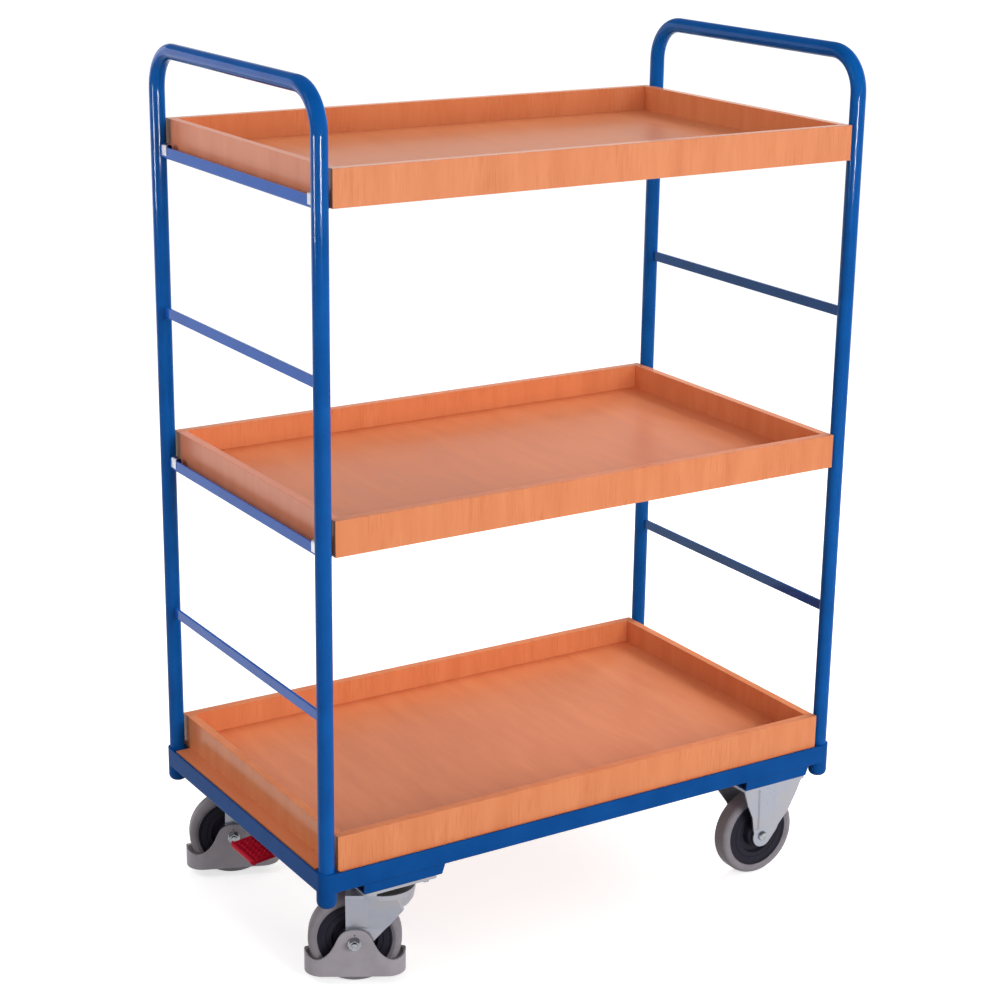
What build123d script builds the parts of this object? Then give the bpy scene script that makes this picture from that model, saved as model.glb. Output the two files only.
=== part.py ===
from build123d import *
import os
from math import cos, radians, sqrt, tan

# Shelf trolley: three wooden trays between two push bars, on a steel frame with two swivel and two
# fixed casters and a central foot brake. Millimetres, +Z up, origin on the ground under the middle.
# -X is the swivel and pedal end, -Y is the front.

# Trays: outer size, boards and floor panel
tray_length = 1000.0
tray_depth = 600.0
board_height = 60.0
board_thickness = 16.0
board_rounding = 1.0
tray_floor_thickness = 16.0

# Rises from one level to the next; everything stands on the wheels
middle_tray_rise = 539.0
top_tray_rise = 548.0
bar_axis_rise = 178.0
lower_strut_rise = 266.0
upper_strut_rise = 278.0

# Push bars of round tube, with struts of flat bar standing on edge
tube_diameter = 27.0
tube_wall = 2.0
tube_to_tray = 3.5
tube_proud = 4.5
bar_bend_radius = 68.0
strut_width = 18.0
strut_thickness = 5.0
strut_rounding = 0.8
weld_gap = 0.02

# Base frame: rails with a foot flange and a deck ledge, and corner sockets
rail_height = 35.0
rail_wall = 3.0
rail_flange = 20.0
rail_bend = 3.0
socket_diameter = 34.0
socket_clearance = 0.15
socket_drop = 29.0
socket_floor = 8.0
socket_rounding = 11.0
deck_thickness = 16.0
deck_gap = 3.0
notch_gap = 2.0

# Shelf rails of angle steel, outer face measured out from the tube's axis
shelf_rail_offset = 3.0
shelf_flange_height = 20.0
shelf_leg_width = 40.0
shelf_rail_wall = 3.0
shelf_rail_bend = 3.5

# Arched clips on the shelf rails
clip_width = 18.0
clip_thickness = 1.2
clip_inner_radius = 4.8
front_clip_to_tube = 1.0
back_clip_to_tube = 9.0
clip_outer_leg = 14.0
clip_inner_leg = 8.0

# Caster carriers, bent sheet across the frame under the caster plates' bolts
carrier_wall = 3.0
carrier_drop = 18.0
carrier_bend = 2.5
carrier_side_gap = 7.5
carrier_setback = 2.0
carrier_slant = 6.0
left_carrier_margin = 5.0
left_carrier_shift = 1.5
right_carrier_margin = -1.0
right_carrier_shift = -1.5

# Wheels
wheel_diameter = 160.0
tyre_width = 36.0
tyre_thickness = 16.0
tyre_rounding = 9.0
tyre_seat_gap = 0.02
rim_width = 30.0
rim_step = 2.0
rim_lip = 5.0
groove_outer = 38.0
groove_inner = 27.0
rim_ridge = 1.2
rim_ridge_radius = 49.0
web_width = 12.0
hub_diameter = 50.0
hub_width = 44.0
hub_chamfer = 4.0
hub_to_fork = 0.5
axle_diameter = 12.0
axle_play = 0.05

# Caster positions; the swivel casters stand turned about their kingpins
caster_side_inset = 69.5
swivel_inset = 135.0
fixed_inset = 104.0
trail = 48.0
front_swivel_angle = -29.8
back_swivel_angle = -21.5

# Caster plates and forks; the leg edges run upward from beside the axle, measured from it
fork_wall = 3.5
plate_thickness = 5.0
plate_depth = 132.0
plate_corner = 8.0
swivel_plate_length = 138.0
crown_gap = 11.5
crown_thickness = 4.5
crown_radius = 55.0
crown_half_depth = 45.0
head_height = 22.0
fork_bend_rise = 25.0
fork_back = 15.0
fork_end_radius = 18.0
fork_crease = 23.0
fork_flare = 7.0
swivel_leg_edge = [(33.0, 3.0), (61.0, 37.0), (74.0, 57.0), (86.0, 73.0)]
bowl_edge = [(14.0, 32.0), (8.0, 27.0), (2.5, 18.0), (0.5, 6.0), (0.0, 0.0)]
bowl_front = 25.0
seal_outer = 54.0
seal_neck = 50.0
seal_inner = 30.0
seal_gap = 0.3
dish_wall = 4.0
dish_height = 4.0
dish_gap = 0.8
boss_radius = 17.0
kingpin_diameter = 20.0
kingpin_head_radius = 15.0
kingpin_head_height = 4.0
turning_play = 0.05
fixed_plate_front = 66.0
fixed_plate_back = 74.0
fixed_end_radius = 21.0
fixed_bend_rise = 15.0
fixed_leg_spread = 62.0
fixed_left_edge = [(-20.0, 12.0), (-34.0, 49.0), (-54.0, 81.0)]
fixed_left_top = -72.0
fixed_right_edge = [(33.0, 7.0), (50.0, 45.0), (56.0, 80.0)]
fixed_right_top = 60.0
fixed_spacer = 3.5
fixed_spacer_radius = 11.0
panel_foot = (-13.0, 24.0)
panel_head = (-41.0, -4.0)
panel_foot_rise = 17.0
panel_depth = 2.6
panel_chamfer = 2.4

# Foot guards round the swivel wheels; the upper edge from one end to near the crest, from the axle
guard_half_length = 86.5
guard_thickness = 4.0
guard_standoff = 1.5
guard_bottom = 17.0
guard_crest = 24.0
guard_edge = [(87.0, -24.0), (82.0, -29.5), (74.0, -33.0), (62.0, -32.5), (45.5, -22.0)]
guard_edge += [(34.0, -4.0), (20.0, 18.5)]
guard_dot_rise = 14.5
guard_dot_diameter = 3.0

# Bolts and screws
caster_bolt_diameter = 8.0
hole_play = 0.25
hex_height = 5.5
hex_across = 13.0
swivel_bolt_x = 50.0
swivel_bolt_y = 55.0
fixed_bolt_x = 50.0
fixed_bolt_y = 38.0
axle_hex_across = 17.0
axle_hex_height = 8.0
axle_end = 3.5
axle_flange_radius = 11.5
axle_flange = 2.5
axle_dome_radius = 9.0
axle_dome = 5.0
axle_dome_rounding = 4.0
screw_diameter = 4.0
screw_head_diameter = 8.0
screw_head_height = 3.0
screw_reach = 25.0
rail_screw_y = 150.0
deck_screw_x = 200.0
deck_screw_y = 180.0

# Central brake
arm_length = 50.0
shaft_rise = 16.0
shaft_diameter = 16.0
shaft_play = 0.05
arm_thickness = 10.0
arm_hub_radius = 13.0
arm_tip_radius = 6.0
arm_under = 3.5
arm_gap = 0.3
bracket_y = 130.0
bracket_thickness = 6.0
bracket_width = 32.0
bracket_cap = 14.0
brake_travel = 7.0
shoe_gap = 1.5
shoe_back = 8.0
shoe_front = 18.0
shoe_width = 24.0
shoe_height = 28.0
shoe_top_gap = 1.0
plunger_diameter = 10.0
plunger_hole_diameter = 22.0
lever_thickness = 10.0
lever_slot_play = 4.0
lever_slot_reach = 48.0
pedal_inset = 1.0
pedal_drop = 51.0
pedal_length = 70.0
pedal_width = 88.0
pedal_lip_radius = 5.0
pedal_dip = 3.0
pedal_plate = 5.0
pedal_heel = 14.0
pedal_slope = 6.5
pedal_corner = 9.0
pedal_nub_radius = 3.4
pedal_nub_crown = 2.4
pedal_nub_height = 1.4
pedal_nub_rounding = 0.8
pedal_nub_spacing = 11.0
pedal_nub_start = 16.5
pedal_nub_columns = 4
pedal_nub_rows = 7
tongue_thickness = 5.0
tongue_width = 34.0
tongue_inset = 14.0

# Values that follow from the driving dimensions
tube_radius = tube_diameter / 2
upright_x = tray_length / 2 + tube_to_tray + tube_radius
upright_y = tray_depth / 2 + tube_proud - tube_radius
socket_radius = socket_diameter / 2
outer_x = upright_x + socket_radius
outer_y = upright_y + socket_radius
wheel_radius = wheel_diameter / 2
axle_radius = axle_diameter / 2
crown_bottom = wheel_diameter + crown_gap
crown_height = crown_bottom + crown_thickness
plate_bottom = crown_height + head_height
carrier_bottom = plate_bottom + plate_thickness
carrier_top = carrier_bottom + carrier_wall
frame_bottom = carrier_bottom + carrier_drop
frame_top = frame_bottom + rail_height
deck_bottom = frame_top - deck_thickness
socket_bottom = frame_bottom - socket_drop
leg_end = socket_bottom + socket_floor
middle_tray_level = frame_top + middle_tray_rise
top_tray_level = middle_tray_level + top_tray_rise
bar_axis_height = top_tray_level + bar_axis_rise
lower_strut_height = frame_top + lower_strut_rise
upper_strut_height = middle_tray_level + upper_strut_rise
caster_y = outer_y - caster_side_inset
swivel_x = swivel_inset - upright_x
fixed_x = upright_x - fixed_inset
rim_radius = wheel_radius - tyre_thickness
fork_inner = hub_width / 2 + hub_to_fork
fork_outer = fork_inner + fork_wall
fixed_inner = fork_inner + fixed_spacer
fixed_outer = fixed_inner + fork_wall
guard_inner = fork_outer + guard_standoff
guard_outer = guard_inner + guard_thickness
kingpin_radius = kingpin_diameter / 2
kingpin_bottom = crown_bottom - seal_gap - kingpin_head_height
fork_bend_height = wheel_radius + fork_bend_rise
fixed_bend_height = wheel_radius + fixed_bend_rise
fixed_plate_length = fixed_plate_front + fixed_plate_back
fixed_plate_middle = (fixed_plate_front - fixed_plate_back) / 2
left_carrier_x = swivel_x + left_carrier_shift
left_carrier_width = swivel_plate_length + 2 * left_carrier_margin
right_carrier_x = fixed_x + fixed_plate_middle + right_carrier_shift
right_carrier_width = fixed_plate_length + 2 * right_carrier_margin
carrier_side_half = caster_y - plate_depth / 2 - carrier_side_gap
shaft_x = swivel_x + arm_length
shaft_height = carrier_top + shaft_rise
lever_slot_end = shaft_x - lever_slot_reach
pedal_edge_x = pedal_inset - outer_x
pedal_edge_height = shaft_height - pedal_drop
pedal_depth = pedal_dip + pedal_plate
shaft_radius = shaft_diameter / 2
plunger_radius = plunger_diameter / 2
plunger_top = shaft_height - arm_tip_radius - arm_gap
corners = [(sx * upright_x, sy * upright_y) for sx in (-1, 1) for sy in (-1, 1)]
shelf_levels = (middle_tray_level, top_tray_level)
shelf_rail_half = upright_y - sqrt(tube_radius**2 - shelf_rail_offset**2)
steep = 0.5
up = (0, 0, 1)
down = (0, 0, -1)
backward = (0, 1, 0)
forward = (0, -1, 0)
base = (Align.CENTER, Align.CENTER, Align.MIN)


def block(low, high):
    # Box between two opposite corners
    size = [b - a for a, b in zip(low, high)]
    return Pos(*low) * Box(*size, align=(Align.MIN, Align.MIN, Align.MIN))


def rod(radius, start, direction, length):
    # Round bar from a point along a direction
    return Plane(origin=start, z_dir=direction) * Cylinder(radius, length, align=base)


def hexagon(across, start, direction, height):
    # Hexagon head or nut from a point along a direction
    outline = Plane(origin=start, z_dir=direction) * RegularPolygon(across / 2, 6, major_radius=False)
    return extrude(outline, amount=height, dir=direction)


def side_outline(points, half_width, middle=0.0):
    # Outline in X and Z, made solid to both sides of a plane across Y
    face = Plane.XZ.offset(-middle) * make_face(Polyline(*points, close=True))
    return extrude(face, amount=half_width, both=True)


def end_outline(points, half_length):
    # Outline in Y and Z, made solid to both sides along X
    return extrude(Plane.YZ * make_face(Polyline(*points, close=True)), amount=half_length, both=True)


def sides(shape):
    # The shape and its mirror image across the plane of X and Z
    return shape + mirror(shape, about=Plane.XZ)


# Base frame
def frame_rail(inward, half_length, reach):
    ledge_bottom = deck_bottom - rail_wall
    foot_top = frame_bottom + rail_wall
    points = [
        (0, frame_bottom),
        (rail_flange, frame_bottom),
        (rail_flange, foot_top),
        (rail_wall, foot_top),
        (rail_wall, ledge_bottom),
        (rail_flange, ledge_bottom),
        (rail_flange, deck_bottom),
        (rail_wall, deck_bottom),
        (rail_wall, frame_top),
        (0, frame_top),
    ]
    inward = Vector(*inward)
    plane = Plane(origin=inward * -reach, x_dir=inward, z_dir=inward.cross(Vector(*up)))
    outline = make_face(Polyline(*points, close=True))
    outline = fillet(outline.vertices().group_by(Axis.Y)[0].sort_by(Axis.X)[0], rail_bend)
    rail = extrude(plane * outline, amount=half_length, both=True)
    for x, y in corners:
        rail -= rod(socket_radius + weld_gap, (x, y, socket_bottom), up, frame_top - socket_bottom)
    return rail


def corner_socket(x, y):
    height = frame_top - socket_bottom
    body = Pos(x, y, socket_bottom) * Cylinder(socket_radius, height, align=base)
    body = fillet(body.faces().sort_by(Axis.Z)[0].edges(), socket_rounding)
    return body - rod(tube_radius + socket_clearance, (x, y, leg_end), up, height)


def deck_screw_places():
    return [(sx * deck_screw_x, sy * deck_screw_y) for sx in (-1, 1) for sy in (-1, 1)]


def deck_panel():
    half_x = outer_x - rail_wall - deck_gap
    half_y = outer_y - rail_wall - deck_gap
    panel = block((-half_x, -half_y, deck_bottom), (half_x, half_y, frame_top))
    reach = socket_radius + notch_gap
    notch = block((upright_x - reach, upright_y - reach, deck_bottom), (half_x, half_y, frame_top))
    notch = sides(notch)
    panel = panel - notch - mirror(notch, about=Plane.YZ)
    for x, y in deck_screw_places():
        panel -= rod(screw_diameter / 2 + hole_play, (x, y, deck_bottom), up, deck_thickness)
    return panel


# Trays
def eased(board, along):
    # Rounds a board's two long upper edges
    return fillet(board.edges().filter_by(along).group_by(Axis.Z)[-1], board_rounding)


def tray(level):
    half_x = tray_length / 2
    half_y = tray_depth / 2
    inner_x = half_x - board_thickness
    inner_y = half_y - board_thickness
    top = level + board_height
    return {
        "floor": block((-inner_x, -inner_y, level), (inner_x, inner_y, level + tray_floor_thickness)),
        "front_board": eased(block((-half_x, -half_y, level), (half_x, -inner_y, top)), Axis.X),
        "back_board": eased(block((-half_x, inner_y, level), (half_x, half_y, top)), Axis.X),
        "left_board": eased(block((-half_x, -inner_y, level), (-inner_x, inner_y, top)), Axis.Y),
        "right_board": eased(block((inner_x, -inner_y, level), (half_x, inner_y, top)), Axis.Y),
    }


# Push bars, struts and shelf rails
def push_bar(side):
    x = side * upright_x
    line = [
        (x, -upright_y, leg_end),
        (x, -upright_y, bar_axis_height),
        (x, upright_y, bar_axis_height),
        (x, upright_y, leg_end),
    ]
    path = FilletPolyline(*line, radius=bar_bend_radius)
    ring = Circle(tube_radius) - Circle(tube_radius - tube_wall)
    return sweep(Plane(origin=line[0], z_dir=up) * ring, path=path)


def upright_cut(x, y):
    return rod(tube_radius + weld_gap, (x, y, leg_end), up, bar_axis_height - leg_end)


def strut(side, height):
    x = side * upright_x
    bar = Pos(x, 0, height) * Box(strut_thickness, 2 * upright_y, strut_width)
    bar = fillet(bar.edges().filter_by(Axis.Y), strut_rounding)
    return bar - upright_cut(x, -upright_y) - upright_cut(x, upright_y)


def rail_screw_places(side):
    x = side * (tray_length - board_thickness) / 2
    return [(x, -rail_screw_y), (x, rail_screw_y)]


def shelf_rail(side, level):
    outer = upright_x + shelf_rail_offset
    foot = level - shelf_rail_wall
    points = [
        (outer, foot),
        (outer, foot + shelf_flange_height),
        (outer - shelf_rail_wall, foot + shelf_flange_height),
        (outer - shelf_rail_wall, level),
        (outer - shelf_leg_width, level),
        (outer - shelf_leg_width, foot),
    ]
    rail = side_outline([(side * x, z) for x, z in points], shelf_rail_half)
    foot_edges = rail.edges().filter_by(Axis.Y).group_by(Axis.Z)[0]
    rail = fillet(max(foot_edges, key=lambda edge: side * edge.center().X), shelf_rail_bend)
    for y in (-upright_y, upright_y):
        rail -= upright_cut(side * upright_x, y)
    for x, y in rail_screw_places(side):
        rail -= rod(screw_diameter / 2 + hole_play, (x, y, foot), up, shelf_rail_wall)
    return rail


def shelf_clip(side, end, to_tube, level):
    # Arch over the flange: outer leg on its outer face, inner leg behind it
    outer_radius = clip_inner_radius + clip_thickness
    crest = level - shelf_rail_wall + shelf_flange_height
    middle = upright_x + shelf_rail_offset - clip_inner_radius
    ring = Pos(side * middle, crest) * (Circle(outer_radius) - Circle(clip_inner_radius))
    lower_half = Rectangle(2 * outer_radius, outer_radius, align=(Align.CENTER, Align.MAX))
    arch = ring - Pos(side * middle, crest) * lower_half
    leg_centre = clip_inner_radius + clip_thickness / 2
    for place, length in ((1, clip_outer_leg), (-1, clip_inner_leg)):
        leg = Rectangle(clip_thickness, length, align=(Align.CENTER, Align.MAX))
        arch += Pos(side * (middle + place * leg_centre), crest) * leg
    y = end * (shelf_rail_half - to_tube - clip_width / 2)
    return extrude(Plane.XZ.offset(-y) * arch, amount=clip_width / 2, both=True)


def wood_screw(x, y, seat):
    # Screw driven upward, its head under a seat face
    shank = rod(screw_diameter / 2, (x, y, seat), up, screw_reach)
    return shank + rod(screw_head_diameter / 2, (x, y, seat), down, screw_head_height)


def screw_pilot(x, y, seat):
    return rod(screw_diameter / 2 + weld_gap, (x, y, seat), up, screw_reach)


# Caster carriers
def carrier(middle, width, bolt_places):
    low = middle - width / 2
    high = middle + width / 2
    edge_y = outer_y - carrier_setback
    web = block((low, -edge_y, carrier_bottom), (high, edge_y, carrier_top))
    corner = (high + carrier_slant, frame_bottom)
    face = [(low, carrier_bottom), (high, carrier_bottom), corner, (low, frame_bottom)]
    lip = side_outline(face, carrier_wall / 2, carrier_wall / 2 - edge_y)
    wall_low = (low, -carrier_side_half, carrier_bottom)
    side_wall = block(wall_low, (low + carrier_wall, carrier_side_half, deck_bottom))
    body = web + sides(lip) + side_wall + Pos(width - carrier_wall, 0, 0) * side_wall
    bends = body.edges().filter_by(Axis.X).group_by(Axis.Z)[0]
    body = fillet(bends, carrier_bend)
    for x, y in bolt_places:
        body -= rod(caster_bolt_diameter / 2 + hole_play, (x, y, carrier_bottom), up, carrier_wall)
    return body


def swivel_carrier(bolt_places):
    body = carrier(left_carrier_x, left_carrier_width, bolt_places)
    for y in (-caster_y, caster_y):
        body -= rod(plunger_hole_diameter / 2, (swivel_x, y, carrier_bottom), up, carrier_wall)
    half = lever_thickness / 2 + lever_slot_play
    edge = left_carrier_x - left_carrier_width / 2
    return body - block((edge, -half, carrier_bottom), (lever_slot_end, half, deck_bottom))


def bolt_pattern(x, y, half_x, half_y):
    return [(x + i * half_x, y + j * half_y) for i in (-1, 1) for j in (-1, 1)]


def caster_bolt(x, y):
    # Head on the carrier, nut under the caster's plate
    radius = caster_bolt_diameter / 2
    tip = plate_bottom - hex_height
    bolt = rod(radius, (x, y, tip), up, carrier_top - tip)
    bolt += hexagon(hex_across, (x, y, carrier_top), up, hex_height)
    nut = hexagon(hex_across, (x, y, plate_bottom), down, hex_height)
    return [bolt, nut - rod(radius + weld_gap, (x, y, plate_bottom), down, hex_height)]


# Wheels, turned about Y through the origin
def turned(points, arcs=()):
    # Half profile across the wheel's width and its radius, mirrored and turned into a wheel piece
    outline = Polyline(*points) + list(arcs) if arcs else Polyline(*points, close=True)
    face = make_face(outline)
    profile = face + mirror(face, about=Plane.YZ)
    return Rot(0, 0, 90) * revolve(profile, axis=Axis.X)


def tyre():
    half = tyre_width / 2
    inner = rim_radius + tyre_seat_gap
    shoulder = (half - tyre_rounding, wheel_radius - tyre_rounding)
    points = [
        (half, shoulder[1]),
        (half, inner + rim_lip),
        (rim_width / 2, inner),
        (0, inner),
        (0, wheel_radius),
        (shoulder[0], wheel_radius),
    ]
    return turned(points, [CenterArc(shoulder, tyre_rounding, 0, 90)])


def rim():
    bore = axle_radius + axle_play
    hub = hub_diameter / 2
    face = rim_width / 2 - rim_step
    points = [
        (0, bore),
        (hub_width / 2, bore),
        (hub_width / 2, hub - hub_chamfer),
        (hub_width / 2 - hub_chamfer, hub),
        (web_width / 2, groove_inner),
        (web_width / 2, groove_outer),
        (face, groove_outer + rim_step),
        (face, rim_ridge_radius - rim_ridge),
        (face + rim_ridge, rim_ridge_radius),
        (face, rim_ridge_radius + rim_ridge),
        (face, rim_radius - rim_lip),
        (rim_width / 2, rim_radius - rim_step),
        (rim_width / 2, rim_radius),
        (0, rim_radius),
    ]
    return turned(points)


def axle_hole(reach, x):
    return rod(axle_radius + weld_gap, (x, -reach, wheel_radius), backward, 2 * reach)


def swivel_axle():
    # Bolt through fork and guard along Y, its flanged nut towards -Y
    seat = guard_outer + axle_flange
    reach = seat + axle_hex_height + axle_end
    bolt = rod(axle_radius, (-trail, -reach, wheel_radius), backward, reach + guard_outer)
    bolt += hexagon(axle_hex_across, (-trail, guard_outer, wheel_radius), backward, axle_hex_height)
    nut = rod(axle_flange_radius, (-trail, -guard_outer, wheel_radius), forward, axle_flange)
    nut += hexagon(axle_hex_across, (-trail, -seat, wheel_radius), forward, axle_hex_height)
    return [bolt, nut - axle_hole(reach, -trail)]


def fixed_axle(outward):
    # Bolt along Y with a domed head on the outer side and a nut on the inner one
    seat = Plane(origin=(0, outward * fixed_outer, wheel_radius), z_dir=(0, outward, 0))
    inner_seat = (0, -outward * fixed_outer, wheel_radius)
    inward = (0, -outward, 0)
    dome = Cylinder(axle_dome_radius, axle_dome, align=base)
    dome = fillet(dome.faces().sort_by(Axis.Z)[-1].edges(), axle_dome_rounding)
    reach = fixed_outer + axle_hex_height + axle_end
    bolt = seat * dome + rod(axle_radius, seat.origin, inward, fixed_outer + reach)
    nut = hexagon(axle_hex_across, inner_seat, inward, axle_hex_height)
    return [bolt, nut - axle_hole(reach, 0)]


def axle_spacers():
    # Bushes that fill the fixed fork on both sides of the hub
    bush = rod(fixed_spacer_radius, (0, fork_inner, wheel_radius), backward, fixed_spacer)
    bush -= rod(axle_radius + weld_gap, (0, fork_inner, wheel_radius), backward, fixed_spacer)
    return [bush, mirror(bush, about=Plane.XZ)]


# Swivel casters, kingpin on the Z axis and the wheel trailing towards -X
def swivel_plate():
    half_x = swivel_plate_length / 2
    half_y = plate_depth / 2
    plate = block((-half_x, -half_y, plate_bottom), (half_x, half_y, carrier_bottom))
    plate = fillet(plate.edges().filter_by(Axis.Z), plate_corner)
    plate -= rod(kingpin_radius + weld_gap, (0, 0, plate_bottom), up, plate_thickness)
    for x, y in bolt_pattern(0, 0, swivel_bolt_x, swivel_bolt_y):
        plate -= rod(caster_bolt_diameter / 2 + hole_play, (x, y, plate_bottom), up, plate_thickness)
    return plate


def kingpin():
    height = carrier_bottom - kingpin_bottom
    pin = rod(kingpin_radius, (0, 0, kingpin_bottom), up, height)
    pin += rod(kingpin_head_radius, (0, 0, kingpin_bottom), up, kingpin_head_height)
    return pin - rod(plunger_radius + turning_play, (0, 0, kingpin_bottom), up, height)


def leg_strip(outer, bend_height, spread, top):
    # Section of a sheet leg: upright beside the wheel, then leaning outward to its top
    return [
        (outer - fork_wall, 0),
        (outer, 0),
        (outer, bend_height),
        (spread, top),
        (spread - fork_wall, top),
        (outer - fork_wall, bend_height),
    ]


def swivel_fork():
    neck = fork_end_radius / sqrt(2)
    edge = [(x - trail, wheel_radius + z) for x, z in swivel_leg_edge]
    back = -trail - fork_back
    top = [(edge[-1][0], crown_height), (back, crown_height)]
    face = [(back, wheel_radius), (neck - trail, wheel_radius - neck), *edge, *top]
    strip = leg_strip(fork_outer, fork_bend_height, crown_half_depth, crown_height)
    sheet = end_outline(strip, trail + wheel_diameter)
    crease = fork_crease - trail
    turned_out = Pos(crease, fork_outer, 0) * Rot(0, 0, fork_flare) * Pos(-crease, -fork_outer, 0)
    ahead = block((crease, 0, 0), (wheel_diameter, wheel_diameter, crown_height))
    leg = (sheet - ahead) + ((turned_out * sheet) & ahead)
    foot = rod(fork_end_radius, (-trail, 0, wheel_radius), backward, crown_radius)
    leg &= side_outline(face, crown_radius) + foot
    tail = Rectangle(-back, 2 * crown_half_depth, align=(Align.MAX, Align.CENTER))
    plan = Circle(crown_radius) + tail
    fork = sides(leg) & extrude(plan, amount=crown_height)
    fork += extrude(Pos(0, 0, crown_bottom) * plan, amount=crown_thickness)
    bowl_outside = [(crown_radius - inset, crown_height - drop) for inset, drop in bowl_edge]
    bowl_inside = [(r - fork_wall, z) for r, z in reversed(bowl_outside)]
    bowl = revolve(Plane.XZ * make_face(Polyline(*bowl_outside, *bowl_inside, close=True)), axis=Axis.Z)
    fork += bowl & block((bowl_front, -crown_radius, 0), (crown_radius, crown_radius, crown_height))
    dish = Circle(crown_radius) - Circle(crown_radius - dish_wall)
    fork += extrude(Pos(0, 0, crown_bottom) * dish, amount=crown_thickness + dish_height)
    fork += rod(boss_radius, (0, 0, crown_height), up, plate_bottom - seal_gap - crown_height)
    fork -= rod(kingpin_radius + turning_play, (0, 0, crown_bottom), up, plate_bottom - crown_bottom)
    return fork - axle_hole(crown_half_depth, -trail)


def swivel_seal():
    lip = crown_height + dish_height + dish_gap
    top = plate_bottom - seal_gap
    neck = min(seal_neck, crown_radius - dish_wall - dish_gap)
    points = [
        (seal_inner, crown_height),
        (neck, crown_height),
        (neck, lip),
        (seal_outer, lip + dish_gap),
        (seal_outer, top - dish_gap),
        (seal_outer - dish_gap, top),
        (seal_inner, top),
    ]
    return revolve(Plane.XZ * make_face(Polyline(*points, close=True)), axis=Axis.Z)


def foot_guard():
    straight = 2 * (guard_half_length - guard_outer)
    ring = SlotCenterToCenter(straight, 2 * guard_outer) - SlotCenterToCenter(straight, 2 * guard_inner)
    crest = wheel_radius + guard_crest
    band = extrude(Pos(-trail, 0, guard_bottom) * ring, amount=crest - guard_bottom)
    near_edge = [(x, wheel_radius + z) for x, z in guard_edge]
    far_edge = [(-x, z) for x, z in reversed(near_edge)]
    bell = Spline(*near_edge, (0, crest), *far_edge)
    end, height = near_edge[0]
    foot = Polyline((-end, height), (-end, guard_bottom), (end, guard_bottom), (end, height))
    face = Plane.XZ * Pos(-trail, 0) * make_face(bell + foot)
    guard = band & extrude(face, amount=2 * guard_outer, both=True)
    dot_place = (-trail, -guard_outer, wheel_radius + guard_dot_rise)
    dot = rod(guard_dot_diameter / 2, dot_place, backward, 2 * guard_outer)
    bush = rod(fork_end_radius, (-trail, fork_outer, wheel_radius), backward, guard_standoff)
    return guard + sides(bush) - dot - axle_hole(guard_outer, -trail)


def brake_plunger():
    # Rod through the kingpin with a shoe whose hollow stands off the tread by the travel and a gap
    top = kingpin_bottom - shoe_top_gap
    shoe = block((-shoe_back, -shoe_width / 2, top - shoe_height), (shoe_front, shoe_width / 2, top))
    tread_height = wheel_radius + brake_travel + shoe_gap
    shoe -= rod(wheel_radius, (-trail, -shoe_width, tread_height), backward, 2 * shoe_width)
    return shoe + rod(plunger_radius, (0, 0, top), up, plunger_top - top)


# Fixed casters, axle over the origin along Y
def fixed_fork():
    neck = fixed_end_radius / sqrt(2)
    heel = (-neck, wheel_radius - neck)
    toe = (neck, wheel_radius - neck)
    left = [(x, wheel_radius + z) for x, z in fixed_left_edge]
    right = [(x, wheel_radius + z) for x, z in reversed(fixed_right_edge)]
    face = [heel, *left, (fixed_left_top, plate_bottom), (fixed_right_top, plate_bottom), *right, toe]
    strip = leg_strip(fixed_outer, fixed_bend_height, fixed_leg_spread, plate_bottom)
    foot = rod(fixed_end_radius, (0, 0, wheel_radius), backward, fixed_leg_spread)
    sheet = end_outline(strip, fixed_plate_length)
    leg = sheet & (side_outline(face, fixed_leg_spread) + foot)
    panel = [(x, wheel_radius + panel_foot_rise) for x in panel_foot]
    panel += [(x, plate_bottom) for x in reversed(panel_head)]
    raised = (Pos(0, panel_depth, 0) * sheet) & side_outline(panel, plate_depth)
    outer_faces = raised.faces().filter_by(lambda face: face.normal_at().Y > steep)
    flanks = outer_faces.edges().filter_by(lambda edge: abs(edge.tangent_at(0).X) < steep)
    leg += chamfer(flanks, panel_chamfer)
    half_y = plate_depth / 2
    plate = block((-fixed_plate_back, -half_y, plate_bottom), (fixed_plate_front, half_y, carrier_bottom))
    plate = fillet(plate.edges().filter_by(Axis.Z), plate_corner)
    fork = sides(leg) + plate
    for x, y in bolt_pattern(fixed_plate_middle, 0, fixed_bolt_x, fixed_bolt_y):
        fork -= rod(caster_bolt_diameter / 2 + hole_play, (x, y, plate_bottom), up, plate_thickness)
    return fork - axle_hole(fixed_leg_spread, 0)


# Central brake
def brake_bracket(y):
    half = bracket_width / 2
    low = (shaft_x - half, y - bracket_thickness / 2, carrier_top)
    plate = block(low, (shaft_x + half, y + bracket_thickness / 2, shaft_height + bracket_cap))
    bore = rod(shaft_radius + shaft_play, (shaft_x, low[1], shaft_height), backward, bracket_thickness)
    return plate - bore


def pedal_place():
    # Plane of the pedal's top, its free edge through the origin
    return Plane(origin=(pedal_edge_x, 0, pedal_edge_height)).rotated((0, -pedal_slope, 0))


def pedal_under(x):
    # Height of the pedal's underside
    slope = radians(pedal_slope)
    return pedal_edge_height + (x - pedal_edge_x) * tan(slope) - pedal_depth / cos(slope)


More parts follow.
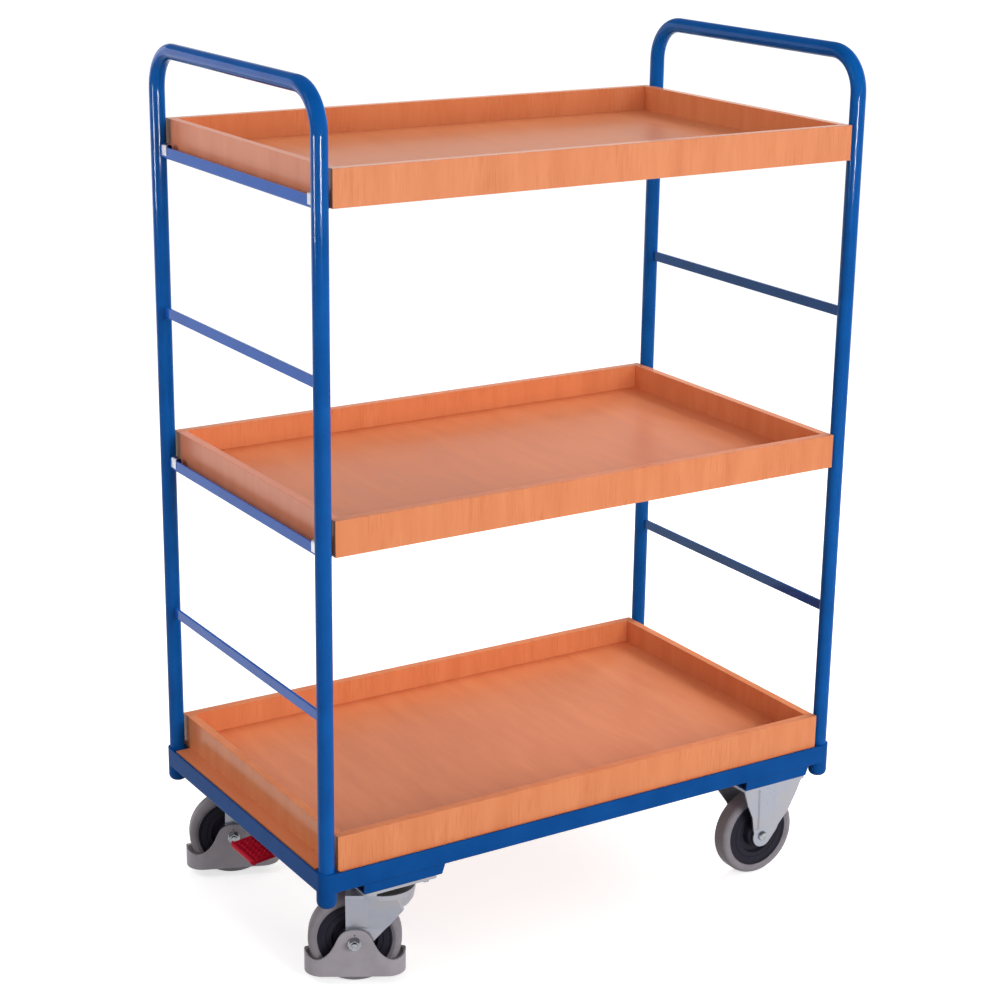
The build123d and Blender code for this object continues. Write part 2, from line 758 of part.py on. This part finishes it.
def brake_shaft():
    reach = caster_y + arm_thickness
    shaft = rod(shaft_radius, (shaft_x, -reach, shaft_height), backward, 2 * reach)
    arm = [
        (shaft_x, shaft_height + arm_hub_radius),
        (swivel_x, shaft_height + arm_tip_radius),
        (swivel_x, shaft_height - arm_under),
        (shaft_x, shaft_height - arm_under),
    ]
    for y in (-caster_y, caster_y):
        start = y - arm_thickness / 2
        shaft += side_outline(arm, arm_thickness / 2, y)
        shaft += rod(arm_hub_radius, (shaft_x, start, shaft_height), backward, arm_thickness)
        shaft += rod(arm_tip_radius, (swivel_x, start, shaft_height), backward, arm_thickness)
    low = (tongue_inset, -tongue_width / 2, -pedal_depth - tongue_thickness)
    tongue = block(low, (pedal_length - tongue_inset, tongue_width / 2, -pedal_depth))
    heel = pedal_edge_x + pedal_length
    behind = heel + lever_thickness / 2
    middle = heel - pedal_length / 2
    knee = lever_slot_end - lever_thickness
    lever = [
        (shaft_x, shaft_height + shaft_radius),
        (knee - lever_thickness, shaft_height + shaft_radius),
        (behind, pedal_under(heel) + pedal_depth),
        (behind, pedal_under(behind)),
        (middle, pedal_under(middle)),
        (middle, pedal_under(middle) - tongue_thickness),
        (behind + lever_thickness, pedal_under(heel) - tongue_thickness),
        (knee, shaft_height - shaft_radius),
        (shaft_x, shaft_height - shaft_radius),
    ]
    return shaft + pedal_place() * tongue + side_outline(lever, lever_thickness / 2)


def brake_pedal():
    # Round lip along the free edge, a dished plate with nubs behind it and a thicker heel
    half = pedal_width / 2
    section = [
        (pedal_lip_radius, -pedal_depth),
        (pedal_length, -pedal_depth),
        (pedal_length, 0),
        (pedal_length - pedal_heel / 2, 0),
        (pedal_length - pedal_heel, -pedal_dip),
        (pedal_lip_radius, -pedal_dip),
    ]
    pad = side_outline(section, half)
    pad += rod(pedal_lip_radius, (pedal_lip_radius, -half, -pedal_lip_radius), backward, pedal_width)
    nub = Cone(pedal_nub_radius, pedal_nub_crown, pedal_nub_height, align=base)
    nub = fillet(nub.faces().sort_by(Axis.Z)[-1].edges(), pedal_nub_rounding)
    middle = pedal_nub_start + (pedal_nub_columns - 1) * pedal_nub_spacing / 2
    grid = GridLocations(pedal_nub_spacing, pedal_nub_spacing, pedal_nub_columns, pedal_nub_rows)
    for place in grid:
        pad += Pos(middle, 0, -pedal_dip) * place * nub
    outline = Pos(pedal_length / 2, 0) * RectangleRounded(pedal_length, pedal_width, pedal_corner)
    return pedal_place() * (pad & extrude(outline, amount=pedal_length, both=True))


# Assembly: every node by name, each a list of solids
nodes = {
    "front_rail": [frame_rail(backward, upright_x, outer_y)],
    "back_rail": [frame_rail(forward, upright_x, outer_y)],
    "left_end_rail": [frame_rail((1, 0, 0), upright_y, outer_x)],
    "right_end_rail": [frame_rail((-1, 0, 0), upright_y, outer_x)],
    "corner_sockets": [corner_socket(x, y) for x, y in corners],
    "deck_panel": [deck_panel()],
}

screws = []
tray_levels = {"bottom": frame_top, "middle": middle_tray_level, "top": top_tray_level}
for tray_name, level in tray_levels.items():
    boards = tray(level)
    if tray_name == "bottom":
        holds = [("floor", place, deck_bottom) for place in deck_screw_places()]
    else:
        seat = level - shelf_rail_wall
        holds = [("left_board", place, seat) for place in rail_screw_places(-1)]
        holds += [("right_board", place, seat) for place in rail_screw_places(1)]
    for board, (x, y), seat in holds:
        screws.append(wood_screw(x, y, seat))
        boards[board] -= screw_pilot(x, y, seat)
    for board, solid in boards.items():
        nodes[f"{tray_name}_tray_{board}"] = [solid]
nodes["tray_screws"] = screws

clips = []
for side_name, side in (("left", -1), ("right", 1)):
    nodes[f"{side_name}_push_bar"] = [push_bar(side)]
    nodes[f"{side_name}_struts"] = [strut(side, z) for z in (lower_strut_height, upper_strut_height)]
    nodes[f"{side_name}_shelf_rails"] = [shelf_rail(side, level) for level in shelf_levels]
    for level in shelf_levels:
        clips.append(shelf_clip(side, -1, front_clip_to_tube, level))
        clips.append(shelf_clip(side, 1, back_clip_to_tube, level))
nodes["shelf_clips"] = clips

rows = (("front", -caster_y, front_swivel_angle), ("back", caster_y, back_swivel_angle))
fixed_bolt_middle = fixed_x + fixed_plate_middle
swivel_holes = []
fixed_holes = []
kingpins = []
for row, y, angle in rows:
    swivel_holes += bolt_pattern(swivel_x, y, swivel_bolt_x, swivel_bolt_y)
    fixed_holes += bolt_pattern(fixed_bolt_middle, y, fixed_bolt_x, fixed_bolt_y)
    at_kingpin = Pos(swivel_x, y, 0)
    at_fork = at_kingpin * Rot(0, 0, angle)
    at_wheel = at_fork * Pos(-trail, 0, wheel_radius)
    kingpins.append(at_kingpin * kingpin())
    nodes[f"{row}_swivel_plate"] = [at_kingpin * swivel_plate()]
    nodes[f"{row}_swivel_fork"] = [at_fork * swivel_fork()]
    nodes[f"{row}_swivel_seal"] = [at_fork * swivel_seal()]
    nodes[f"{row}_foot_guard"] = [at_fork * foot_guard()]
    nodes[f"{row}_swivel_axle"] = [at_fork * piece for piece in swivel_axle()]
    nodes[f"{row}_brake_plunger"] = [at_fork * brake_plunger()]
    nodes[f"{row}_swivel_rim"] = [at_wheel * rim()]
    nodes[f"{row}_swivel_tyre"] = [at_wheel * tyre()]
    at_fixed = Pos(fixed_x, y, 0)
    nodes[f"{row}_fixed_fork"] = [at_fixed * fixed_fork()]
    outward = -1 if y < 0 else 1
    axle_pieces = fixed_axle(outward) + axle_spacers()
    nodes[f"{row}_fixed_axle"] = [at_fixed * piece for piece in axle_pieces]
    nodes[f"{row}_fixed_rim"] = [at_fixed * Pos(0, 0, wheel_radius) * rim()]
    nodes[f"{row}_fixed_tyre"] = [at_fixed * Pos(0, 0, wheel_radius) * tyre()]
nodes["kingpins"] = kingpins
nodes["left_caster_carrier"] = [swivel_carrier(swivel_holes)]
nodes["right_caster_carrier"] = [carrier(right_carrier_x, right_carrier_width, fixed_holes)]
nodes["caster_bolts"] = [piece for x, y in swivel_holes + fixed_holes for piece in caster_bolt(x, y)]

nodes["brake_brackets"] = [brake_bracket(y) for y in (-bracket_y, bracket_y)]
nodes["brake_shaft"] = [brake_shaft()]
nodes["brake_pedal"] = [brake_pedal()]

os.makedirs("parts", exist_ok=True)
for name, pieces in nodes.items():
    solids = [solid for piece in pieces for solid in piece.solids()]
    export_step(solids[0] if len(solids) == 1 else Compound(solids), f"parts/{name}.step")
print(len(nodes), "nodes")
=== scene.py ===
from math import radians

import bmesh
import bpy
from mathutils import Matrix, Vector

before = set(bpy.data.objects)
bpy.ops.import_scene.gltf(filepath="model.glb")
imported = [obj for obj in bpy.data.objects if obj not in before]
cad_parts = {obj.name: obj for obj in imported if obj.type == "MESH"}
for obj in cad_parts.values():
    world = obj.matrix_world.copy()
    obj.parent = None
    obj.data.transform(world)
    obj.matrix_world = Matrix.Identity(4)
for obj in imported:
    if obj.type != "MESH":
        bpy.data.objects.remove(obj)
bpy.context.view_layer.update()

print("stage 1: frame loaded,", len(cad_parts), "nodes")
scene = bpy.context.scene
scene.view_settings.view_transform = "Standard"
mm = 0.001
white = "#FFFFFF"
unitSpan = (0.0, 1.0)
noiseSpan = (0.3, 0.7)  # most values of a noise texture lie in here
mottleDetail = 4.0  # noise octaves of an unevenly coloured surface


# Shared helpers
def linear(hexColour):
    channels = [int(hexColour[i:i + 2], 16) / 255 for i in (1, 3, 5)]
    return [c / 12.92 if c <= 0.04045 else ((c + 0.055) / 1.055) ** 2.4 for c in channels] + [1.0]


def setInputs(node, inputs):
    # Inputs go by name or number, or in order from a list; each is a value or a socket to link
    for key, value in inputs.items() if isinstance(inputs, dict) else enumerate(inputs):
        if isinstance(value, bpy.types.NodeSocket):
            node.id_data.links.new(value, node.inputs[key])
        else:
            node.inputs[key].default_value = value


def addNode(tree, kind, settings=None, inputs=()):
    # Settings are the node's fields; stops fills a colour ramp
    node = tree.nodes.new("ShaderNode" + kind)
    for name, value in (settings or {}).items():
        if name == "stops":
            while len(node.color_ramp.elements) < len(value):
                node.color_ramp.elements.new(0.5)  # moved to its own spot below
            for element, (spot, colour) in zip(node.color_ramp.elements, value):
                element.position = spot
                element.color = linear(colour)
        else:
            setattr(node, name, value)
    setInputs(node, inputs)
    return node


def newMaterial(name, shaderInputs):
    material = bpy.data.materials.new(name)
    material.use_nodes = True
    tree = material.node_tree
    tree.nodes.clear()
    shader = addNode(tree, "BsdfPrincipled", inputs=shaderInputs)
    addNode(tree, "OutputMaterial", inputs={"Surface": shader.outputs[0]})
    return material, tree, shader


def dress(material, *names):
    for name in names:
        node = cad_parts[name]
        node.data.materials.clear()
        node.data.materials.append(material)


# Powder-coated steel: deep gentian blue, glossy, a faint orange peel that softens the edges of highlights
blueCoat = {
    "mottle": 60 * mm,
    "peel": 3.0 * mm,
    "peelDetail": 1.0,
    "peelDepth": 0.006 * mm,
    "roughness": (0.07, 0.11),
    "deepTones": [(0.3, "#07509A"), (0.5, "#0955A2"), (0.72, "#0C5AA8")],
    # paler blue for the left flats: a painted sheen, the pale reflection these faces show, put into the base
    # colour
    "paintedSheenTones": [(0.3, "#185ABA"), (0.5, "#1C5FC0"), (0.72, "#2064C6")],
    # darker blue for the low frame and caster carriers: painted shade, the same coat drawn darker where less
    # light reaches it
    "paintedShadeTones": [(0.3, "#0A488C"), (0.5, "#0D4C92"), (0.72, "#105098")],
    "tubeSpecular": 0.05,
    "frameSpecular": 0.02,  # the low frame shows a duller coat
    "leftFlatSpecular": 0.22,  # flat bars and angles catch a pale sheen, most of all at the pedal end
    "rightFlatSpecular": 0.2,
}


def coatBlue(name, tones, specular):
    material, tree, shader = newMaterial(name, {"Specular IOR Level": blueCoat[specular]})
    where = addNode(tree, "TexCoord").outputs["Object"]  # metres in the trolley's own frame
    mottle = addNode(tree, "TexNoise", inputs={
        "Vector": where, "Scale": 1 / blueCoat["mottle"], "Detail": mottleDetail})
    colour = addNode(tree, "ValToRGB", {"stops": blueCoat[tones]}, [mottle.outputs["Fac"]])
    gloss = addNode(tree, "MapRange", inputs=[mottle.outputs["Fac"], *noiseSpan, *blueCoat["roughness"]])
    peel = addNode(tree, "TexNoise", inputs={
        "Vector": where, "Scale": 1 / blueCoat["peel"], "Detail": blueCoat["peelDetail"]})
    bump = addNode(tree, "Bump", inputs={
        "Height": peel.outputs["Fac"], "Distance": blueCoat["peelDepth"]})
    setInputs(shader, {
        "Base Color": colour.outputs[0], "Roughness": gloss.outputs[0], "Normal": bump.outputs[0]})
    return material


tubeBlue = coatBlue("powderCoatTubes", "deepTones", "tubeSpecular")
# the low frame's base colour holds painted shade
frameBlue = coatBlue("powderCoatFramePaintedShade", "paintedShadeTones", "frameSpecular")
flatBlue = {
    # the left struts and shelf rails carry the painted sheen tones; the right ones keep the plain coat
    "left": coatBlue("powderCoatLeftFlatsPaintedSheen", "paintedSheenTones", "leftFlatSpecular"),
    "right": coatBlue("powderCoatRightFlats", "deepTones", "rightFlatSpecular"),
}
dress(frameBlue, "front_rail", "back_rail", "left_end_rail", "right_end_rail", "corner_sockets")
for side in ("left", "right"):
    dress(tubeBlue, f"{side}_push_bar")
    dress(flatBlue[side], f"{side}_struts", f"{side}_shelf_rails")
    dress(frameBlue, f"{side}_caster_carrier")
print("stage 2: blue coat")

# Beech-decor board: warm orange satin foil, short dark pores in loose patches along the grain
beechBoard = {
    "tones": [(0.3, "#D98154"), (0.5, "#DF885A"), (0.7, "#E48F61")],
    # paler, pinker tones for the left end boards: a painted veil, the pale reflection of the room put into
    # the colour on top of their real gloss
    "paintedVeilTones": [(0.3, "#E08561"), (0.5, "#E68D68"), (0.7, "#EB9470")],
    "pore": "#C46A3E",
    "pale": "#EA9C70",
    "band": 34 * mm,
    "bandRun": 240 * mm,
    "bandNoise": {"Scale": 1.0, "Detail": 5.0, "Roughness": 0.6, "Distortion": 0.3},
    "poreWidth": 2.2 * mm,  # drawn coarser than a real pore so that it shows
    "poreRun": 46 * mm,
    "poreNoise": {"Scale": 1.0, "Detail": 3.0, "Roughness": 0.55},
    "poreSpan": (0.53, 0.68),  # noise values where the dark pores set in and are full
    "paleSpan": (0.46, 0.34),  # the same for the pale flecks between them
    "paleShare": 0.7,  # pale flecks against dark pores
    "patch": 62 * mm,
    "patchDetail": 2.0,
    "patchSpan": (0.42, 0.6),
    "patchLeast": 0.15,  # share of the pores left between the patches
    "wave": 0.03 * mm,
}
# Strength sets how plainly the pores show
longBoard = {"name": "beechLongBoards", "tones": "tones", "grain": "Z",
             "strength": 0.42, "specular": 0.15, "roughness": (0.2, 0.26)}
topFrontBoard = {"name": "beechTopFrontBoard", "tones": "tones", "grain": "Z",  # mirrors more of the room
                 "strength": 0.42, "specular": 0.45, "roughness": (0.2, 0.26)}
endBoard = {"name": "beechEndBoards", "tones": "tones", "grain": "Z",
            "strength": 0.2, "specular": 0.12, "roughness": (0.15, 0.2)}
# the left end boards take the painted veil tones
veiledBoard = {"name": "beechEndBoardsPaintedVeil", "tones": "paintedVeilTones", "grain": "Z",  # on the left, pinker
               "strength": 0.12, "specular": 0.62, "roughness": (0.32, 0.38)}
panel = {"name": "beechPanels", "tones": "tones", "grain": "Y",
         "strength": 0.16, "specular": 0.68, "roughness": (0.32, 0.4)}
mixFactor, mixFirst, mixSecond, mixResult = 0, 6, 7, 2  # sockets of a Mix node for colours


def layBeech(look):
    material, tree, shader = newMaterial(look["name"], {"Specular IOR Level": look["specular"]})
    where = addNode(tree, "TexCoord").outputs["Object"]
    grain = "XYZ".index(look["grain"])
    wide = [1 / beechBoard["band"]] * 3
    wide[grain] = 1 / beechBoard["bandRun"]
    bandPlace = addNode(tree, "Mapping", inputs={"Vector": where, "Scale": wide})
    bands = addNode(tree, "TexNoise", inputs={"Vector": bandPlace.outputs[0], **beechBoard["bandNoise"]})
    tone = addNode(tree, "ValToRGB", {"stops": beechBoard[look["tones"]]}, [bands.outputs["Fac"]])
    thin = [1 / beechBoard["poreWidth"]] * 3
    thin[grain] = 1 / beechBoard["poreRun"]
    porePlace = addNode(tree, "Mapping", inputs={"Vector": where, "Scale": thin})
    pores = addNode(tree, "TexNoise", inputs={"Vector": porePlace.outputs[0], **beechBoard["poreNoise"]})
    patches = addNode(tree, "TexNoise", inputs={
        "Vector": where, "Scale": 1 / beechBoard["patch"], "Detail": beechBoard["patchDetail"]})
    patchMask = addNode(tree, "MapRange", inputs=[
        patches.outputs["Fac"], *beechBoard["patchSpan"], beechBoard["patchLeast"], 1.0])
    dark = addNode(tree, "MapRange", inputs=[
        pores.outputs["Fac"], *beechBoard["poreSpan"], 0.0, look["strength"]])
    darkMask = addNode(tree, "Math", {"operation": "MULTIPLY"}, [dark.outputs[0], patchMask.outputs[0]])
    light = addNode(tree, "MapRange", inputs=[
        pores.outputs["Fac"], *beechBoard["paleSpan"], 0.0, look["strength"] * beechBoard["paleShare"]])
    lightMask = addNode(tree, "Math", {"operation": "MULTIPLY"}, [light.outputs[0], patchMask.outputs[0]])
    poreColour = addNode(tree, "Mix", {"data_type": "RGBA"}, {
        mixFactor: darkMask.outputs[0], mixFirst: tone.outputs[0], mixSecond: linear(beechBoard["pore"])})
    colour = addNode(tree, "Mix", {"data_type": "RGBA"}, {
        mixFactor: lightMask.outputs[0], mixFirst: poreColour.outputs[mixResult],
        mixSecond: linear(beechBoard["pale"])})
    satin = addNode(tree, "MapRange", inputs=[bands.outputs["Fac"], *noiseSpan, *look["roughness"]])
    bump = addNode(tree, "Bump", inputs={
        "Height": patches.outputs["Fac"], "Distance": beechBoard["wave"]})
    setInputs(shader, {
        "Base Color": colour.outputs[mixResult], "Roughness": satin.outputs[0], "Normal": bump.outputs[0]})
    return material


longMaterial = layBeech(longBoard)
topFrontMaterial = layBeech(topFrontBoard)
endMaterial = layBeech(endBoard)
veiledMaterial = layBeech(veiledBoard)
panelMaterial = layBeech(panel)
for tray in ("bottom", "middle", "top"):
    dress(panelMaterial, f"{tray}_tray_floor")
    dress(topFrontMaterial if tray == "top" else longMaterial, f"{tray}_tray_front_board")
    dress(longMaterial, f"{tray}_tray_back_board")
    dress(endMaterial, f"{tray}_tray_right_board")
    # the left end boards of the middle and top trays carry the painted veil
    dress(endMaterial if tray == "bottom" else veiledMaterial, f"{tray}_tray_left_board")
dress(panelMaterial, "deck_panel")
print("stage 3: beech boards")

# Zinc-plated sheet steel: pale bluish grey, soft cloudy sheen, fine rolling lines along the leg
zincSheet = {
    "colours": [(0.34, "#989DAA"), (0.5, "#9D9FA9"), (0.66, "#A19FA3")],
    "metallic": 0.6,
    "cloud": 48 * mm,
    "cloudDetail": 3.0,
    "line": 1.6 * mm,
    "lineRun": 60 * mm,
    "lineDetail": 2.0,
    "streak": 0.1,  # how far a line shifts the colour
    "wave": 0.05 * mm,
    "roughness": (0.26, 0.36),
}


def plateZinc():
    material, tree, shader = newMaterial("zincPlatedSheet", {"Metallic": zincSheet["metallic"]})
    where = addNode(tree, "TexCoord").outputs["Object"]
    cloud = addNode(tree, "TexNoise", inputs={
        "Vector": where, "Scale": 1 / zincSheet["cloud"], "Detail": zincSheet["cloudDetail"]})
    sheen = addNode(tree, "MapRange", inputs=[cloud.outputs["Fac"], *noiseSpan, *zincSheet["roughness"]])
    thin = (1 / zincSheet["line"], 1 / zincSheet["line"], 1 / zincSheet["lineRun"])
    linePlace = addNode(tree, "Mapping", inputs={"Vector": where, "Scale": thin})
    lines = addNode(tree, "TexNoise", inputs={
        "Vector": linePlace.outputs[0], "Scale": 1.0, "Detail": zincSheet["lineDetail"]})
    streak = addNode(tree, "MapRange", inputs=[
        lines.outputs["Fac"], *noiseSpan, -zincSheet["streak"], zincSheet["streak"]])
    tone = addNode(tree, "Math", {"operation": "ADD"}, [cloud.outputs["Fac"], streak.outputs[0]])
    colour = addNode(tree, "ValToRGB", {"stops": zincSheet["colours"]}, [tone.outputs[0]])
    bump = addNode(tree, "Bump", inputs={"Height": cloud.outputs["Fac"], "Distance": zincSheet["wave"]})
    setInputs(shader, {
        "Base Color": colour.outputs[0], "Roughness": sheen.outputs[0], "Normal": bump.outputs[0]})
    return material


# Zinc-plated fasteners: clean cold highlights, slight spotting; the sprung clips are brighter than the bolts
boltSteel = {"name": "platedBoltSteel", "colours": [(0.3, "#84868C"), (0.7, "#A2A4A9")],
             "spot": 6 * mm, "roughness": (0.14, 0.26)}
clipSteel = {"name": "brightSpringSteel", "colours": [(0.3, "#C4C6CC"), (0.7, "#DADCE0")],
             "spot": 6 * mm, "roughness": (0.16, 0.26)}


def plateSteel(look):
    material, tree, shader = newMaterial(look["name"], {"Metallic": 1.0})
    where = addNode(tree, "TexCoord").outputs["Object"]
    spot = addNode(tree, "TexNoise", inputs={
        "Vector": where, "Scale": 1 / look["spot"], "Detail": mottleDetail})
    colour = addNode(tree, "ValToRGB", {"stops": look["colours"]}, [spot.outputs["Fac"]])
    sheen = addNode(tree, "MapRange", inputs=[spot.outputs["Fac"], *noiseSpan, *look["roughness"]])
    setInputs(shader, {"Base Color": colour.outputs[0], "Roughness": sheen.outputs[0]})
    return material


zincMaterial = plateZinc()
boltMaterial = plateSteel(boltSteel)
clipMaterial = plateSteel(clipSteel)

# Moulded pieces: slightly uneven colour from the melt and a fine pebbled skin from the mould
greyGuard = {  # moulded polyamide, even mid grey, satin
    "name": "mouldedGreyGuard", "colours": [(0.3, "#9A949B"), (0.5, "#A09AA1"), (0.7, "#A6A0A7")],
    "mottle": 30 * mm, "pebble": 1.2 * mm, "depth": 0.03 * mm, "roughness": (0.42, 0.52), "specular": 0.4}
darkRim = {  # moulded polypropylene, near black, smooth and fairly dull
    "name": "mouldedDarkRim", "colours": [(0.3, "#25232C"), (0.5, "#292731"), (0.7, "#2D2B35")],
    "mottle": 24 * mm, "pebble": 1.6 * mm, "depth": 0.01 * mm, "roughness": (0.4, 0.5), "specular": 0.06}
greyTyre = {  # thermoplastic rubber, warm mid grey, dull
    "name": "greyTyreRubber", "colours": [(0.3, "#7F7A80"), (0.5, "#868187"), (0.7, "#8D888E")],
    "mottle": 20 * mm, "pebble": 1.0 * mm, "depth": 0.03 * mm, "roughness": (0.5, 0.62), "specular": 0.35}
blackSeal = {  # moulded rubber ring, black with small soft glints
    "name": "blackRubberSeal", "colours": [(0.3, "#0D0D0F"), (0.5, "#121214"), (0.7, "#171719")],
    "mottle": 10 * mm, "pebble": 1.2 * mm, "depth": 0.03 * mm, "roughness": (0.3, 0.42), "specular": 0.15}
redPedal = {  # moulded ABS, strong red, a soft shine over a nubbed tread
    "name": "mouldedRedPedal", "colours": [(0.3, "#B21028"), (0.5, "#C2142F"), (0.7, "#CE1935")],
    "mottle": 14 * mm, "pebble": 2.4 * mm, "depth": 0.08 * mm, "roughness": (0.32, 0.42), "specular": 0.09}


def mould(look):
    material, tree, shader = newMaterial(look["name"], {"Specular IOR Level": look["specular"]})
    where = addNode(tree, "TexCoord").outputs["Object"]
    mottle = addNode(tree, "TexNoise", inputs={
        "Vector": where, "Scale": 1 / look["mottle"], "Detail": mottleDetail})
    colour = addNode(tree, "ValToRGB", {"stops": look["colours"]}, [mottle.outputs["Fac"]])
    dull = addNode(tree, "MapRange", inputs=[mottle.outputs["Fac"], *noiseSpan, *look["roughness"]])
    skin = addNode(tree, "TexVoronoi", {"feature": "SMOOTH_F1"}, {
        "Vector": where, "Scale": 1 / look["pebble"]})
    bump = addNode(tree, "Bump", inputs={"Height": skin.outputs["Distance"], "Distance": look["depth"]})
    setInputs(shader, {
        "Base Color": colour.outputs[0], "Roughness": dull.outputs[0], "Normal": bump.outputs[0]})
    return material


guardMaterial = mould(greyGuard)
rimMaterial = mould(darkRim)
tyreMaterial = mould(greyTyre)
sealMaterial = mould(blackSeal)
pedalMaterial = mould(redPedal)
for row in ("front", "back"):
    dress(zincMaterial, f"{row}_swivel_plate", f"{row}_swivel_fork", f"{row}_fixed_fork")
    dress(boltMaterial, f"{row}_swivel_axle", f"{row}_fixed_axle", f"{row}_brake_plunger")
    dress(guardMaterial, f"{row}_foot_guard")
    dress(sealMaterial, f"{row}_swivel_seal")
    dress(rimMaterial, f"{row}_swivel_rim", f"{row}_fixed_rim")
    dress(tyreMaterial, f"{row}_swivel_tyre", f"{row}_fixed_tyre")
dress(boltMaterial, "tray_screws", "caster_bolts", "kingpins", "brake_brackets", "brake_shaft")
dress(clipMaterial, "shelf_clips")
dress(pedalMaterial, "brake_pedal")
print("stage 4: casters and brake dressed")

# Camera: the photograph's viewpoint, in metres, degrees and millimetres of lens
viewCamera = {
    "place": (-2.068, -3.249, 1.948),
    "turn": -32.37,
    "tilt": 17.56,  # below level
    "roll": 0.84,
    "lens": 81.45,
    "sensor": 36.0,
}


def setCamera():
    data = bpy.data.cameras.new("viewCamera")
    data.sensor_width = viewCamera["sensor"]
    data.lens = viewCamera["lens"]
    camera = bpy.data.objects.new("viewCamera", data)
    scene.collection.objects.link(camera)
    turn = Matrix.Rotation(radians(viewCamera["turn"]), 4, "Z")
    tilt = Matrix.Rotation(radians(90 - viewCamera["tilt"]), 4, "X")
    roll = Matrix.Rotation(radians(viewCamera["roll"]), 4, "Z")
    camera.matrix_world = Matrix.Translation(viewCamera["place"]) @ turn @ tilt @ roll
    scene.camera = camera


setCamera()

# Studio: a pale matt floor in a white room, bright to the eye and in mirrors, with dimmer bounce light
studio = {
    "half": 30.0,  # metres from the middle of the floor to its edge
    "floor": 0.8,
    "bounce": 0.36,
    "lift": 0.62,
    "ambient": 0.55,
    "horizon": (0.27, 0.36),  # rise of a mirrored ray where the white wall fades into the ceiling
    "overhead": 0.3,
}


def seenWhite(tree):
    # 1 for camera, glossy and transmission rays
    path = addNode(tree, "LightPath")
    direct = addNode(tree, "Math", {"operation": "MAXIMUM"}, [
        path.outputs["Is Camera Ray"], path.outputs["Is Glossy Ray"]])
    seen = addNode(tree, "Math", {"operation": "MAXIMUM"}, [
        direct.outputs[0], path.outputs["Is Transmission Ray"]])
    return seen.outputs[0]


def setFloor():
    grid = bmesh.new()
    bmesh.ops.create_grid(grid, x_segments=2, y_segments=2, size=studio["half"])
    mesh = bpy.data.meshes.new("floor")
    grid.to_mesh(mesh)
    grid.free()
    floor = bpy.data.objects.new("floor", mesh)
    scene.collection.objects.link(floor)
    material, tree, shader = newMaterial("paleFloor", {
        "Roughness": 1.0, "Specular IOR Level": 0.0, "Emission Color": linear(white)})
    seen = seenWhite(tree)
    paint = addNode(tree, "MapRange", inputs=[seen, *unitSpan, studio["bounce"], studio["floor"]])
    lift = addNode(tree, "MapRange", inputs=[seen, *unitSpan, 0.0, studio["lift"]])
    setInputs(shader, {"Base Color": paint.outputs[0], "Emission Strength": lift.outputs[0]})
    mesh.materials.append(material)


def setWorld():
    world = bpy.data.worlds.new("studio")
    world.use_nodes = True
    tree = world.node_tree
    tree.nodes.clear()
    way = addNode(tree, "SeparateXYZ", inputs=[addNode(tree, "TexCoord").outputs["Generated"]])
    glow = addNode(tree, "MapRange", inputs=[way.outputs["Z"], *studio["horizon"], 1.0, studio["overhead"]])
    direct = addNode(tree, "LightPath").outputs["Is Camera Ray"]
    bright = addNode(tree, "Math", {"operation": "MAXIMUM"}, [glow.outputs[0], direct])
    level = addNode(tree, "MapRange", inputs=[
        seenWhite(tree), *unitSpan, studio["ambient"], bright.outputs[0]])
    room = addNode(tree, "Background", inputs={"Color": linear(white), "Strength": level.outputs[0]})
    addNode(tree, "OutputWorld", inputs={"Surface": room.outputs[0]})
    scene.world = world


setFloor()
setWorld()

# Soft boxes in metres and watts; without gloss, a box cannot glare in the tray floors
softBoxes = {
    "keyBox": {"place": (0.5, -4.2, 1.6), "target": (0, 0, 0.8), "size": (2.0, 1.2),
               "power": 106, "gloss": False},
    "leftBox": {"place": (-2.3, 0.4, 2.0), "target": (-0.5, 0, 1.2), "size": (0.8, 0.8),
                "power": 13},
    "backBox": {"place": (3.0, 0.8, 2.6), "target": (0, 0, 0.8), "size": (2.0, 2.0),
                "power": 98, "gloss": False},
}
# Cards that only show as streaks and a sheen in the gloss of the push bars
glossCards = {
    "eyeCard": {"place": (-1.05, -3.48, 0.9), "target": (-0.4, 0, 0.9), "size": (0.8, 0.34),
                "power": 185},
    "leftCard": {"place": (-3.4, 0.15, 0.9), "target": (-0.5, 0, 0.9), "size": (0.55, 0.34),
                 "power": 103},
    "backCard": {"place": (-1.9, 3.9, 1.4), "target": (-0.5, 0, 1.4), "size": (2.4, 2.8),
                 "power": 62, "tint": "#E2DCFF"},
}


def setBoxes(boxes, receivers=None):
    for name, look in boxes.items():
        data = bpy.data.lights.new(name, "AREA")
        data.shape = "RECTANGLE"
        data.size, data.size_y = look["size"]
        data.energy = look["power"]
        data.color = linear(look.get("tint", white))[:3]
        box = bpy.data.objects.new(name, data)
        scene.collection.objects.link(box)
        box.location = look["place"]
        aim = Vector(look["target"]) - Vector(look["place"])
        box.rotation_euler = aim.to_track_quat("-Z", "Y").to_euler()
        box.visible_glossy = look.get("gloss", True)
        if receivers:
            box.visible_diffuse = False
            box.light_linking.receiver_collection = receivers


glossyBars = bpy.data.collections.new("glossyBars")
for side in ("left", "right"):
    glossyBars.objects.link(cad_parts[f"{side}_push_bar"])
setBoxes(softBoxes)
setBoxes(glossCards, glossyBars)
print("stage 5: camera, studio and soft boxes")
